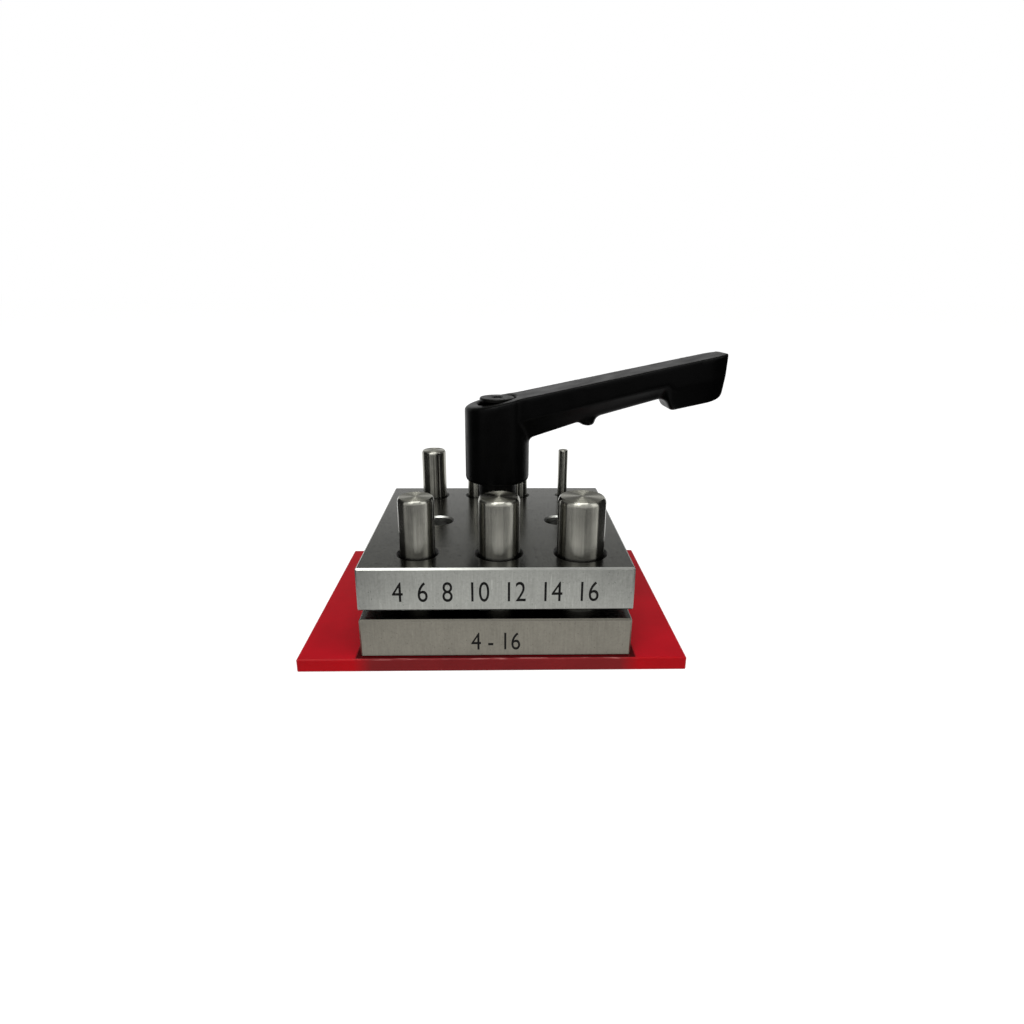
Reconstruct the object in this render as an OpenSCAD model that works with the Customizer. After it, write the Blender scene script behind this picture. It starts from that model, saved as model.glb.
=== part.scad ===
// Jeweller's disc cutter with a clamping lever and a set of seven round punches.
// Sheet metal goes into the slot between the two steel plates. The lever screws
// the upper plate down onto it, and a punch is driven through the upper plate,
// the sheet and the die hole below it, down to the soft pad.
//
// Millimetres. +X is right, +Y is away from the viewer and +Z is up. The origin
// is on the pad's underside, on the axis of the clamping stud.

/* [Pad] */
// Thickness of the soft pad
pad_t = 4.8; // [3:0.2:10]
// How far the pad shows to the left of the block
pad_left = 21.2; // [2:0.2:40]
// How far the pad shows to the right of the block
pad_right = 18.8; // [2:0.2:40]
// How far the pad shows in front of the block
pad_front = 1.3; // [0.5:0.1:20]
// How far the pad shows behind the block
pad_rear = 4.7; // [0.5:0.1:20]
// Bevel along the pad's cut edges
pad_bevel = 0.4; // [0.2:0.1:1]

/* [Plates] */
// Width of both steel plates
plate_w = 90; // [84:1:120]
// Depth of both steel plates, front to back
plate_d = 90; // [84:1:120]
// Thickness of the lower plate, which holds the dies
base_t = 13.7; // [12:0.1:25]
// Thickness of the upper plate, which guides the punches
top_t = 15; // [12:0.5:25]
// Height of the open slot that the sheet metal goes into
throat = 3.3; // [3.1:0.1:6]
// Bevel that breaks the plates' outer edges
edge_break = 0.6; // [0.3:0.1:1.2]

/* [Hole pattern] */
// How far the pattern's middle lies right of the plates' middle
pattern_x = 1.1; // [-2:0.1:2]
// How far the pattern's middle lies behind the plates' middle
pattern_y = 1.1; // [-2:0.1:2]
// How far the clamping stud stands left of the pattern's middle
stud_left = 0.6; // [0:0.1:2]
// Front row of holes, from the plates' front edge
front_inset = 13.2; // [12:0.1:16]
// Rear row of holes, from the plates' rear edge
rear_inset = 11.1; // [9:0.1:16]
// Spacing of the three front holes
front_pitch = 27.4; // [24:0.2:30]
// Spacing of the four rear holes
rear_pitch = 18.2; // [15:0.2:20]

/* [Punches] */
// Diameter of the smallest punch
punch_4_d = 4; // [3:0.1:5]
// Diameter of the second punch
punch_6_d = 6; // [5:0.1:7]
// Diameter of the third punch
punch_8_d = 8; // [7:0.1:9]
// Diameter of the fourth punch
punch_10_d = 10; // [9:0.1:11]
// Diameter of the fifth punch
punch_12_d = 12; // [11:0.1:13]
// Diameter of the sixth punch
punch_14_d = 14; // [13:0.1:15]
// Diameter of the largest punch
punch_16_d = 16; // [15:0.1:17]
// How far the punches stand out of the upper plate
punch_proud = 20; // [10:0.5:30]
// Radial clearance of a punch in the upper plate
guide_gap = 0.05; // [0.02:0.01:0.1]
// Radial clearance of a punch in its die
die_gap = 0.03; // [0.01:0.01:0.1]
// Height of the cutting land at the top of each die
die_land = 6; // [3:0.5:9]
// How much wider the die hole is below its land, on the radius
die_relief = 0.4; // [0.2:0.1:1]
// Bevel round the mouth of each punch hole
mouth_bevel = 1.1; // [0.3:0.1:1.5]

/* [Guide pins] */
// Diameter of the two guide pins
guide_pin_d = 10; // [8:0.5:12]
// Distance between the guide pins
guide_pin_pitch = 45.8; // [40:0.2:52]
// How far the pins end below the upper plate's top face
guide_pin_recess = 2; // [1:0.5:5]
// Radial clearance of the guide pins in the upper plate
slide_gap = 0.05; // [0.02:0.01:0.1]
// Bevel round the mouth of the guide pin holes
pin_mouth_bevel = 0.6; // [0.3:0.1:1.2]

/* [Lift springs] */
// Wire of the springs that lift the upper plate
lift_wire = 1.2; // [0.8:0.1:1.4]
// Turns of each lift spring
lift_turns = 4.5; // [3.5:0.5:5]
// Radial room between a guide pin and its spring
lift_room = 0.5; // [0.3:0.1:1]
// Depth of the spring pocket in the upper plate
lift_pocket_top = 7; // [6:0.5:9]
// Depth of the spring pocket in the lower plate
lift_pocket_base = 2.5; // [1:0.5:4]

/* [Clamping stack] */
// Diameter of the clamping stud
stud_d = 8; // [6:0.5:8]
// Metal left below the stud in the lower plate
stud_floor = 2; // [1:0.5:4]
// Length of stud that reaches into the threaded insert
stud_grip = 10.5; // [8:0.5:12]
// Radial clearance of the stud in the upper plate, washer and sleeve
stud_room = 0.4; // [0.2:0.1:1]
// Radial clearance of the stud in the insert's thread
thread_gap = 0.05; // [0.02:0.01:0.1]
// Diameter of the thrust washer
washer_d = 15; // [13:0.5:20]
// Thickness of the thrust washer
washer_t = 1.6; // [1:0.1:3]
// Diameter of the spacer sleeve and of the insert's collar
sleeve_d = 14; // [13.8:0.1:16]
// Height of the lever's hub above the upper plate
hub_lift = 16.7; // [10:0.1:24]

/* [Threaded insert] */
// Height of the insert's collar
collar_h = 5; // [2:0.5:7]
// Diameter of the insert's plain drum
drum_d = 11; // [10.6:0.1:11.2]
// Height of the insert above its collar
insert_h = 16; // [15:0.5:18]
// Number of serration teeth
tooth_count = 24; // [16:1:30]
// Diameter at the bottom of the teeth
tooth_root_d = 11.4; // [11.3:0.1:12]
// Diameter at the tips of the teeth
tooth_tip_d = 13; // [12.6:0.1:13.2]
// Height of the teeth
tooth_h = 3.5; // [2:0.5:3.5]
// Clearance between the insert's and the lever's teeth
tooth_gap = 0.15; // [0.1:0.05:0.2]

/* [Lever] */
// Diameter of the lever's hub
hub_d = 23.5; // [21:0.1:26]
// Height of the hub, on its axis, up to the slanted top
hub_h = 29.6; // [29:0.1:34]
// Height of the bevel round the hub's bottom
hub_bevel_h = 0.8; // [0.5:0.1:4]
// Width of the bevel round the hub's bottom
hub_bevel_w = 0.6; // [0.5:0.1:2.5]
// Rise of the lever arm above level, in degrees
arm_rise = 11.4; // [0:0.2:16]
// Turn of the lever at rest, from pointing straight right, in degrees
lever_angle = 3.5; // [-30:0.5:30]
// Reach of the lever from the stud's axis to its tip
arm_reach = 82.8; // [70:0.2:100]
// Width of the arm where it leaves the hub's axis
arm_w_hub = 18.9; // [15:0.1:20]
// Width of the arm at its tip
arm_w_tip = 15.5; // [12:0.1:18]
// Depth of the arm below its top line at the hub's axis
arm_depth_hub = 16.4; // [13:0.1:18]
// Depth of the arm below its top line where the grip begins
arm_depth_neck = 11.1; // [8:0.1:12]
// Depth of the crease along the arm's flanks, below its top line
arm_crease = 7.7; // [5:0.1:10]
// How much narrower each side of the arm is at the bottom
arm_draft = 2.4; // [1:0.1:3]
// Rounding along the arm's lower edges
arm_round = 3; // [1.5:0.1:3]
// Length of the deep grip at the tip
grip_len = 23.5; // [15:0.5:30]
// Depth of the grip below its top line
grip_depth = 16; // [12:0.1:18]
// Rounding of the grip's lower edges and corners
grip_round = 2.2; // [1:0.1:3]
// Rounding of the tip's corners, seen from above
tip_round = 3; // [1.5:0.1:5]
// Distance of the stop nub from the stud's axis
nub_at = 33; // [24:0.5:44]
// Diameter of the nub at the arm
nub_d = 6.6; // [4:0.1:8]
// How far the nub hangs below the arm
nub_len = 2.7; // [1.5:0.1:5]

/* [Lever screw and spring] */
// Diameter of the retaining screw's shank
screw_d = 6; // [5:0.1:6]
// Length of the screw's thread in the insert
screw_grip = 5; // [3:0.5:5]
// Diameter of the screw's head
head_d = 12.7; // [12:0.1:13]
// Diameter of the flat under the head that the spring pushes on
head_seat_d = 9.6; // [9.4:0.1:10]
// Height of the cone under the head
head_cone_h = 2.2; // [1:0.1:3]
// Thickness of the head's rim
head_rim_h = 1.1; // [0.6:0.1:2]
// Width of the screw's hexagon socket, across flats
hex_af = 4; // [3:0.5:5]
// Depth of the hexagon socket
hex_depth = 2.4; // [1.5:0.1:3]
// Diameter of the recess that holds the head and spring
recess_d = 14; // [13.8:0.1:15]
// Thickness of the web that the lever spring stands on
web_t = 2; // [1.5:0.1:3]
// Space for the lever spring at rest
spring_space = 9; // [8:0.5:12]
// Wire of the lever spring
spring_wire = 0.8; // [0.6:0.1:0.8]
// Turns of the lever spring
spring_turns = 4.5; // [3.5:0.5:5]

/* [Hidden] */
$fn = 64;

// Extra length that a cut runs past the face it opens
cut = 1;
// Play at rest between two faces that close on each other
play = 0.3;
// Rest clearance at each end of a spring
spring_seat_gap = 0.05;
// How far the lever spring stays inside the edge of the flat it pushes on
spring_margin = 0.2;
// Metal between the insert's two threads
insert_floor = 1;
// Bevel round the rim of the screw's head
screw_edge = 0.3;

// Levels, from the bottom up
pad_top = pad_t;
base_top = pad_top + base_t;
top_bottom = base_top + throat;
top_top = top_bottom + top_t;
washer_top = top_top + washer_t;
hub_bottom = top_top + hub_lift;
collar_bottom = hub_bottom - collar_h;
insert_top = hub_bottom + insert_h;
thread_top = insert_top - screw_grip - insert_floor;
web_bottom = insert_top + play;
web_top = web_bottom + web_t;
head_bottom = web_top + spring_space;
head_top = head_bottom + head_cone_h + head_rim_h;
hub_top = hub_bottom + hub_h;
punch_top = top_top + punch_proud;
stud_top = collar_bottom + stud_grip;

// Plan, from the stud's axis
block_x = stud_left - pattern_x;
block_y = -pattern_y;
front_y = block_y - plate_d / 2 + front_inset;
rear_y = block_y + plate_d / 2 - rear_inset;
row_x = stud_left;
function pin_x(side) = row_x + side * guide_pin_pitch / 2;

// Where the lift springs stand: the coil's middle radius and its pocket
lift_r = guide_pin_d / 2 + lift_room + lift_wire / 2;
pocket_r = lift_r + lift_wire / 2 + lift_room;
spring_r = (head_seat_d - spring_wire) / 2 - spring_margin;

// Share of its own diameter by which a punch's top edge is rounded in, how much
// taller than wide the rounding is, and its steps
punch_round = 0.085;
punch_round_h = 1.5;
punch_round_steps = 4;

// Outline of the lever's arm: where it starts, how far it runs into the grip, how
// far it stands above the slanted cut that trims it, the radius of its upper edges
// and how much narrower each side is at its crease
arm_start = 3;
neck_in = 2;
over_top = 2;
flank_round = 1.5;
flank_lean = 0.2;
// Radius of the nub's end, as a share of the nub's diameter
nub_end = 0.38;

// Every hole as [x, y, punch diameter], from the largest punch to the smallest
PUNCHES = [
    [row_x + front_pitch, front_y, punch_16_d],
    [row_x, front_y, punch_14_d],
    [row_x - front_pitch, front_y, punch_12_d],
    [row_x - 1.5 * rear_pitch, rear_y, punch_10_d],
    [row_x - 0.5 * rear_pitch, rear_y, punch_8_d],
    [row_x + 0.5 * rear_pitch, rear_y, punch_6_d],
    [row_x + 1.5 * rear_pitch, rear_y, punch_4_d]
];

steel = "#8d8f8c";
bright_steel = "#b9bab5";
dark_steel = "#2b2c2e";
spring_steel = "#77797c";
black_coat = "#161719";
pad_red = "#c8202b";

// A rectangle about the middle with its four corners cut off
module bevelled_rect(w, d, bevel) {
    polygon([
        [-w / 2 + bevel, -d / 2], [w / 2 - bevel, -d / 2],
        [w / 2, -d / 2 + bevel], [w / 2, d / 2 - bevel],
        [w / 2 - bevel, d / 2], [-w / 2 + bevel, d / 2],
        [-w / 2, d / 2 - bevel], [-w / 2, -d / 2 + bevel]
    ]);
}

// A ground plate that stands on z = 0, with every outer edge broken
module plate_blank(w, d, t, bevel) {
    intersection() {
        linear_extrude(t)
            bevelled_rect(w, d, bevel);
        translate([0, d / 2, t / 2])
            rotate([90, 0, 0])
                linear_extrude(d)
                    bevelled_rect(w, t, bevel);
        translate([-w / 2, 0, t / 2])
            rotate([90, 0, 90])
                linear_extrude(w)
                    bevelled_rect(d, t, bevel);
    }
}

// A straight hole from z0 to z1, with a bevelled mouth at z1
module bevelled_bore(r, z0, z1, bevel) {
    translate([0, 0, z0 - cut])
        cylinder(r = r, h = z1 - z0 + 2 * cut);
    translate([0, 0, z1 - bevel])
        cylinder(r1 = r, r2 = r + bevel + cut, h = bevel + cut);
}

// A pin from z0 to z1 with both ends bevelled
module bevelled_pin(r, z0, z1, bevel) {
    rotate_extrude()
        polygon([
            [0, z0], [r - bevel, z0], [r, z0 + bevel],
            [r, z1 - bevel], [r - bevel, z1], [0, z1]
        ]);
}

// A flat ring from z0 to z1
module ring(r_out, r_in, z0, z1) {
    rotate_extrude()
        translate([r_in, z0])
            square([r_out - r_in, z1 - z0]);
}

// ---- Coil springs: one unbroken tube along a helix ----

// Rings in one turn and sides of the wire
coil_steps = 8;
wire_sides = 6;

// Middle of the wire at step i of a coil that climbs from z0 to z1
function helix_point(i, steps, r, z0, z1) =
    let (turn = 360 * i / coil_steps)
    [r * cos(turn), r * sin(turn), z0 + (z1 - z0) * i / steps];

// Direction of the wire at step i, as a unit vector
function helix_way(i, steps, r, z0, z1) =
    let (
        turn = 360 * i / coil_steps,
        climb = (z1 - z0) * coil_steps / (steps * 2 * PI * r),
        n = sqrt(1 + climb * climb)
    )
    [-sin(turn) / n, cos(turn) / n, climb / n];

// One ring of the wire about a point
function wire_ring(centre, way, out, wire) =
    let (up = cross(out, way))
    [for (k = [0 : wire_sides - 1])
        let (a = 360 * k / wire_sides)
        centre + wire / 2 * (cos(a) * out + sin(a) * up)];

// Middles of all rings: a straight lead, the helix and a straight tail
function coil_centres(r, wire, z0, z1, steps) = concat(
    [helix_point(0, steps, r, z0, z1) - wire * helix_way(0, steps, r, z0, z1)],
    [for (i = [0 : steps]) helix_point(i, steps, r, z0, z1)],
    [helix_point(steps, steps, r, z0, z1) + wire * helix_way(steps, steps, r, z0, z1)]
);

// Least gap between the wire and itself, over rings half a turn or more apart
function coil_self_gap(centres, wire) =
    min([for (i = [0 : len(centres) - 1])
        for (j = [i + coil_steps / 2 : 1 : len(centres) - 1])
            norm(centres[i] - centres[j])]) - wire;

// A spring between the seats bottom and top, with a name for its printed gap
module coil_spring(name, r, wire, turns, bottom, top) {
    z0 = bottom + spring_seat_gap + wire / 2;
    z1 = top - spring_seat_gap - wire / 2;
    lead = helix_way(0, turns * coil_steps, r, z0, z1)[2] * wire;
    low = z0 + lead;
    high = z1 - lead;
    steps = turns * coil_steps;
    centres = coil_centres(r, wire, low, high, steps);
    rings = [for (i = [0 : len(centres) - 1])
        let (
            s = min(max(i - 1, 0), steps),
            turn = 360 * s / coil_steps,
            way = helix_way(s, steps, r, low, high)
        )
        wire_ring(centres[i], way, [cos(turn), sin(turn), 0], wire)];
    count = len(rings);
    sides = [for (i = [0 : count - 2])
        for (k = [0 : wire_sides - 1])
            let (
                a = i * wire_sides + k,
                b = i * wire_sides + (k + 1) % wire_sides,
                c = b + wire_sides,
                d = a + wire_sides
            )
            each [[a, b, c], [a, c, d]]];
    start = [for (k = [1 : wire_sides - 2]) [0, k + 1, k]];
    last = (count - 1) * wire_sides;
    end = [for (k = [1 : wire_sides - 2]) [last, last + k, last + k + 1]];
    echo(str(name, " least gap between its turns: "), coil_self_gap(centres, wire));
    polyhedron([for (ring = rings) each ring], concat(sides, start, end));
}

// ---- Pad and plates ----

module cutting_pad() {
    color(pad_red)
        translate([block_x + (pad_right - pad_left) / 2, block_y + (pad_rear - pad_front) / 2, 0])
            plate_blank(
                plate_w + pad_left + pad_right, plate_d + pad_front + pad_rear, pad_t, pad_bevel
            );
}

// Lower plate: dies with a cutting land and a wider relief below it
module base_plate() {
    color(steel)
        difference() {
            translate([block_x, block_y, pad_top])
                plate_blank(plate_w, plate_d, base_t, edge_break);
            for (p = PUNCHES)
                translate([p[0], p[1], 0]) {
                    translate([0, 0, pad_top - cut])
                        cylinder(r = p[2] / 2 + die_gap, h = base_t + 2 * cut);
                    translate([0, 0, pad_top - cut])
                        cylinder(r = p[2] / 2 + die_relief, h = base_t - die_land + cut);
                }
            for (side = [-1, 1])
                translate([pin_x(side), 0, 0]) {
                    translate([0, 0, pad_top - cut])
                        cylinder(r = guide_pin_d / 2, h = base_t + 2 * cut);
                    translate([0, 0, base_top - lift_pocket_base])
                        cylinder(r = pocket_r, h = lift_pocket_base + cut);
                }
            translate([0, 0, pad_top + stud_floor])
                cylinder(r = stud_d / 2, h = base_t);
        }
}

// Upper plate: bevelled guide holes, and spring pockets in its underside
module top_plate() {
    color(steel)
        difference() {
            translate([block_x, block_y, top_bottom])
                plate_blank(plate_w, plate_d, top_t, edge_break);
            for (p = PUNCHES)
                translate([p[0], p[1], 0])
                    bevelled_bore(p[2] / 2 + guide_gap, top_bottom, top_top, mouth_bevel);
            for (side = [-1, 1])
                translate([pin_x(side), 0, 0]) {
                    bevelled_bore(
                        guide_pin_d / 2 + slide_gap, top_bottom, top_top, pin_mouth_bevel
                    );
                    translate([0, 0, top_bottom - cut])
                        cylinder(r = pocket_r, h = lift_pocket_top + cut);
                }
            translate([0, 0, top_bottom - cut])
                cylinder(r = stud_d / 2 + stud_room, h = top_t + 2 * cut);
        }
}

// ---- Guide pins and lift springs ----

module guide_pin(side) {
    color(bright_steel)
        translate([pin_x(side), 0, 0])
            bevelled_pin(guide_pin_d / 2, pad_top, top_top - guide_pin_recess, edge_break);
}

module guide_pin_left() {
    guide_pin(-1);
}

module guide_pin_right() {
    guide_pin(1);
}

module lift_spring(name, side) {
    color(spring_steel)
        translate([pin_x(side), 0, 0])
            coil_spring(
                name, lift_r, lift_wire, lift_turns,
                base_top - lift_pocket_base, top_bottom + lift_pocket_top
            );
}

module lift_spring_left() {
    lift_spring("lift_spring_left", -1);
}

module lift_spring_right() {
    lift_spring("lift_spring_right", 1);
}

// ---- Clamping stack on the stud ----

module clamp_stud() {
    color(dark_steel)
        bevelled_pin(stud_d / 2, pad_top + stud_floor, stud_top, edge_break);
}

module thrust_washer() {
    color(dark_steel)
        ring(washer_d / 2, stud_d / 2 + stud_room, top_top, washer_top);
}

module spacer_sleeve() {
    color(dark_steel)
        ring(sleeve_d / 2, stud_d / 2 + stud_room, washer_top, collar_bottom);
}

// Outline of the serrations, moved outwards by gap
module serrations(gap) {
    root = tooth_root_d / 2 + gap;
    tip = tooth_tip_d / 2 + gap;
    polygon([for (i = [0 : 2 * tooth_count - 1])
        let (a = 180 * i / tooth_count, r = i % 2 == 0 ? tip : root)
        [r * cos(a), r * sin(a)]]);
}

// Threaded insert: collar, serrations and a plain drum that guides the lever
module lever_insert() {
    color(dark_steel)
        difference() {
            union() {
                translate([0, 0, collar_bottom])
                    cylinder(r = sleeve_d / 2, h = collar_h);
                rotate([0, 0, lever_angle])
                    translate([0, 0, hub_bottom - play])
                        linear_extrude(tooth_h + play)
                            serrations(0);
                translate([0, 0, hub_bottom])
                    cylinder(r = drum_d / 2, h = insert_h);
            }
            translate([0, 0, collar_bottom - cut])
                cylinder(r = stud_d / 2 + thread_gap, h = thread_top - collar_bottom + cut);
            translate([0, 0, insert_top - screw_grip])
                cylinder(r = screw_d / 2, h = screw_grip + cut);
        }
}

// ---- Lever ----

// Half of the arm's width, and the height of its top line, at a distance from the axis
function arm_half_w(a) = (arm_w_hub + (arm_w_tip - arm_w_hub) * a / arm_reach) / 2;
function arm_top(a) = hub_top + a * tan(arm_rise);

// Two balls, left and right, whose outsides lie half_w from the middle
module ball_pair(a, half_w, z, r) {
    for (side = [-1, 1])
        translate([a, side * (half_w - r), z])
            sphere(r = r, $fn = 32);
}

// One station of the arm: the balls that its outline is stretched over, of one size
// for the flanks and another for the underside. The top balls stand above the top
// line, because the slanted cut takes them off.
module arm_station(a, depth, draft, flank, round) {
    half_w = arm_half_w(a);
    ball_pair(a, half_w, arm_top(a) + over_top, flank);
    ball_pair(a, half_w - flank_lean, arm_top(a) - arm_crease, flank);
    ball_pair(a, half_w - draft, arm_top(a) - depth + round / cos(arm_rise), round);
}

// Solid outside of the lever, before its slanted top and its bores are cut
module lever_body() {
    grip_at = arm_reach - grip_len;
    neck_at = grip_at + neck_in;
    // Hub
    translate([0, 0, hub_bottom])
        cylinder(r1 = hub_d / 2 - hub_bevel_w, r2 = hub_d / 2, h = hub_bevel_h);
    translate([0, 0, hub_bottom + hub_bevel_h])
        cylinder(r = hub_d / 2, h = hub_h - hub_bevel_h + hub_d / 2 * tan(arm_rise) + cut);
    // Arm, which gets shallower towards the grip
    hull() {
        arm_station(arm_start, arm_depth_hub, arm_draft, flank_round, arm_round);
        arm_station(neck_at, arm_depth_neck, arm_draft, flank_round, arm_round);
    }
    // Deep grip at the tip
    hull() {
        arm_station(grip_at + grip_round, grip_depth, arm_draft / 2, flank_round, grip_round);
        arm_station(arm_reach - tip_round, grip_depth, arm_draft / 2, tip_round, grip_round);
    }
    // Stop nub under the arm
    nub_root = arm_top(nub_at) - arm_depth_hub + (arm_depth_hub - arm_depth_neck) * nub_at / neck_at;
    nub_r = nub_end * nub_d;
    translate([nub_at, 0, nub_root - nub_len + nub_r]) {
        sphere(r = nub_r);
        cylinder(r1 = nub_r, r2 = nub_d / 2, h = nub_len);
    }
}

// Room for the screw, its spring and the insert, from the top down
module lever_bores() {
    translate([0, 0, web_top])
        cylinder(r = recess_d / 2, h = hub_h);
    translate([0, 0, web_bottom - cut])
        cylinder(r = screw_d / 2 + play, h = web_t + 2 * cut);
    translate([0, 0, hub_bottom - cut])
        cylinder(r = drum_d / 2 + slide_gap, h = insert_h + play + cut);
    translate([0, 0, hub_bottom - cut])
        linear_extrude(tooth_h + play + cut)
            serrations(tooth_gap);
}

module lever_handle() {
    color(black_coat)
        rotate([0, 0, lever_angle])
            difference() {
                lever_body();
                translate([0, 0, hub_top])
                    rotate([0, -arm_rise, 0])
                        translate([-hub_d, -hub_d, 0])
                            cube([arm_reach + 2 * hub_d, 2 * hub_d, hub_d]);
                lever_bores();
            }
}

// Coil spring that holds the lever down on the insert's teeth
module lever_spring() {
    color(spring_steel)
        coil_spring("lever_spring", spring_r, spring_wire, spring_turns, web_top, head_bottom);
}

// Retaining screw: shank, spring seat, cone and rim, with a hexagon socket
module lever_screw() {
    color(dark_steel)
        difference() {
            rotate_extrude()
                polygon([
                    [0, insert_top - screw_grip], [screw_d / 2, insert_top - screw_grip],
                    [screw_d / 2, head_bottom], [head_seat_d / 2, head_bottom],
                    [head_d / 2, head_bottom + head_cone_h], [head_d / 2, head_top - screw_edge],
                    [head_d / 2 - screw_edge, head_top], [0, head_top]
                ]);
            translate([0, 0, head_top - hex_depth])
                rotate([0, 0, lever_angle])
                    cylinder(d = hex_af / cos(30), h = hex_depth + cut, $fn = 6);
        }
}

// ---- Punches ----

// A ground punch that stands on the pad, with a rounded striking end
module punch(p) {
    r = p[2] / 2;
    round = punch_round * p[2];
    color(bright_steel)
        translate([p[0], p[1], 0])
            rotate_extrude()
                polygon(concat(
                    [[0, pad_top], [r, pad_top]],
                    [for (i = [0 : punch_round_steps])
                        let (a = 90 * i / punch_round_steps)
                        [r - round + round * cos(a), punch_top - punch_round_h * round * (1 - sin(a))]],
                    [[0, punch_top]]
                ));
}

module punch_16mm() {
    punch(PUNCHES[0]);
}

module punch_14mm() {
    punch(PUNCHES[1]);
}

module punch_12mm() {
    punch(PUNCHES[2]);
}

module punch_10mm() {
    punch(PUNCHES[3]);
}

module punch_8mm() {
    punch(PUNCHES[4]);
}

module punch_6mm() {
    punch(PUNCHES[5]);
}

module punch_4mm() {
    punch(PUNCHES[6]);
}

cutting_pad();
base_plate();
top_plate();
guide_pin_left();
guide_pin_right();
lift_spring_left();
lift_spring_right();
clamp_stud();
thrust_washer();
spacer_sleeve();
lever_insert();
lever_handle();
lever_spring();
lever_screw();
punch_4mm();
punch_6mm();
punch_8mm();
punch_10mm();
punch_12mm();
punch_14mm();
punch_16mm();
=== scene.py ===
"""Finishes, clamping lever, springs, size numerals, studio and camera for a jeweller's disc cutter.

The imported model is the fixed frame: pad, plates, guide pins and the black parts keep their solids and
get their finishes here. The punches, the cast lever and the wound springs are modelled again with their
full form.
"""

import logging
import math
from dataclasses import dataclass, field
from enum import Enum
from typing import Any, Optional, Sequence, Union

import bmesh
import bpy
from mathutils import Matrix, Vector


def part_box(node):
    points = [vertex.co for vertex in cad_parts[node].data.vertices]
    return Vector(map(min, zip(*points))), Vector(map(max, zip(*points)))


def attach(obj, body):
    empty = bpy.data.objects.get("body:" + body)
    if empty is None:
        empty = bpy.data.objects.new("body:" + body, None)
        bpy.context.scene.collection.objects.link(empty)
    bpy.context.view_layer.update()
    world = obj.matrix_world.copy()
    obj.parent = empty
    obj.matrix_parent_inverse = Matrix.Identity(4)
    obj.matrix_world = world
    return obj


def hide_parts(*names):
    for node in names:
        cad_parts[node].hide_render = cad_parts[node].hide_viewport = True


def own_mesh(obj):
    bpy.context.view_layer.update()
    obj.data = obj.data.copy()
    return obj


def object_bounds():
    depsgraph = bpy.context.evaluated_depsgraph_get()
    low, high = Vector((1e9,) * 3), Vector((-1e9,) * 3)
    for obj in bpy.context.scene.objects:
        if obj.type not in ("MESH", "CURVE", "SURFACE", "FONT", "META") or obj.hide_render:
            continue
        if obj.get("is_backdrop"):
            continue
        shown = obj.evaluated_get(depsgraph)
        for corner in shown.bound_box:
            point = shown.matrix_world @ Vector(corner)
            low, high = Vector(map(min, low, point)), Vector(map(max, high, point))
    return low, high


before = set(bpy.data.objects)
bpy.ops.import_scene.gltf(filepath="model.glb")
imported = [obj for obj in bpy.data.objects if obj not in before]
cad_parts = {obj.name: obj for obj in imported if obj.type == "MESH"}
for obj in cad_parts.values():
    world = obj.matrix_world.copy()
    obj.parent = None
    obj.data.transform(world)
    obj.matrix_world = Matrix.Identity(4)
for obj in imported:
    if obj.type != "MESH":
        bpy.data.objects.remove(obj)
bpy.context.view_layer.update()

log = logging.getLogger("disc_cutter")

MM = 0.001
# Most of a noise's values lie between these two
NOISE = (0.3, 0.7)
# Upright part of the normal at which a face starts to count as a top, and at which it fully does
FLAT = (0.75, 0.9)
# The same for a face that is no longer an upright side
RISING = (0.3, 0.6)
# Share of the way to the middle of its neighbours that one step of smoothing moves a point
SMOOTHING = 0.5
WHITE = (1.0, 1.0, 1.0, 1.0)

Point = tuple[float, float, float]
Range = tuple[float, float]
Thing = bpy.types.Object
Node = bpy.types.Node
Socket = bpy.types.NodeSocket
Tree = bpy.types.NodeTree
Feed = Union[Socket, Node]


class Join(Enum):
    """How a second solid changes the first."""

    ADD = "UNION"
    CUT = "DIFFERENCE"


class FixedEnd(Enum):
    """The end of a spring that stays where it is while the other one moves."""

    BOTTOM = "bottom"
    TOP = "top"


# ---- Small helpers ----


def linear(hex_colour: str) -> tuple[float, float, float, float]:
    """Turns an sRGB hex colour into Blender's linear colour.

    Args:
        hex_colour: Six hex digits after a hash.

    Returns:
        Red, green, blue and alpha, from 0 to 1.
    """
    channels = [int(hex_colour[i : i + 2], 16) / 255 for i in (1, 3, 5)]
    curve = [c / 12.92 if c <= 0.04045 else ((c + 0.055) / 1.055) ** 2.4 for c in channels]
    return (curve[0], curve[1], curve[2], 1.0)


def span(source: Range, target: Range) -> dict[str, float]:
    """Returns a Map Range node's settings that spread the range source over target."""
    return {"From Min": source[0], "From Max": source[1], "To Min": target[0], "To Max": target[1]}


def add_node(
    tree: Tree,
    kind: str,
    settings: Optional[dict[Any, Any]] = None,
    links: Optional[dict[Any, Feed]] = None,
) -> Node:
    """Adds a node with its settings and the links into it.

    Args:
        tree: The node tree that gets the node.
        kind: The node's type, without the ShaderNode prefix.
        settings: Values for the node's own properties or for its inputs, by name or place.
        links: What feeds its inputs, by name or place: a socket, or a node's first output in use.

    Returns:
        The new node.
    """
    node = tree.nodes.new("ShaderNode" + kind)
    for key, value in (settings or {}).items():
        if isinstance(key, str) and hasattr(node, key):
            setattr(node, key, value)
        else:
            node.inputs[key].default_value = value
    for key, source in (links or {}).items():
        if isinstance(source, Node):
            source = next(socket for socket in source.outputs if socket.enabled)
        tree.links.new(source, node.inputs[key])
    return node


def empty_tree(owner: Union[bpy.types.Material, bpy.types.World]) -> Tree:
    """Gives a material or a world an empty node tree and returns it."""
    owner.use_nodes = True
    owner.node_tree.nodes.clear()
    return owner.node_tree


def link_object(name: str, data: bpy.types.ID) -> Thing:
    """Makes an object of the data, puts it in the scene and returns it."""
    obj = bpy.data.objects.new(name, data)
    bpy.context.scene.collection.objects.link(obj)
    return obj


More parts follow.
